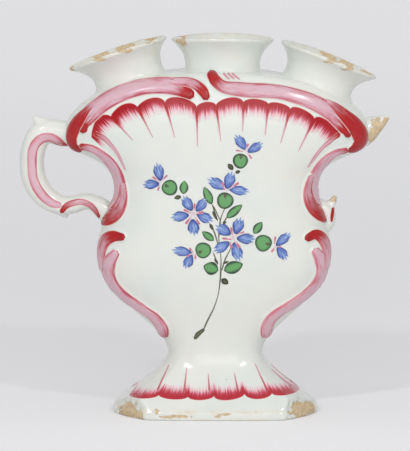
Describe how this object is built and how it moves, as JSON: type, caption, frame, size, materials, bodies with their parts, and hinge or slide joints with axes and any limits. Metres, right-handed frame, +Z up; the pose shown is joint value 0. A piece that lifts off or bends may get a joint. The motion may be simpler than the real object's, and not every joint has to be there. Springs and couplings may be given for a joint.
{
  "type": "flower vase",
  "caption": "Flat waisted faience flower vase with trumpet necks on an arched shoulder, a scroll handle, a broken handle stub and a spreading foot.",
  "frame": {"origin": "below the middle of the outline, on the surface that the foot stands on", "axes": "+X to the right along the vase's width, +Y to the back through its depth, +Z up"},
  "size_m": [0.1932, 0.068, 0.1996],
  "materials": {
    "white_glaze": "gloss",
    "painted_glaze": "gloss",
    "bare_clay": "matte",
    "crimson_enamel": "gloss",
    "blue_enamel": "gloss",
    "green_enamel": "gloss"
  },
  "bodies": {
    "root": {"foot": "white_glaze", "body_floor": "white_glaze", "front_shell": "painted_glaze", "back_shell": "painted_glaze", "shoulder_deck": "white_glaze", "neck_left": "white_glaze", "neck_middle": "white_glaze", "neck_right": "white_glaze", "handle_left": "painted_glaze", "handle_stub_upper_right": "bare_clay", "handle_stub_lower_right": "bare_clay"}
  },
  "joints": []
}
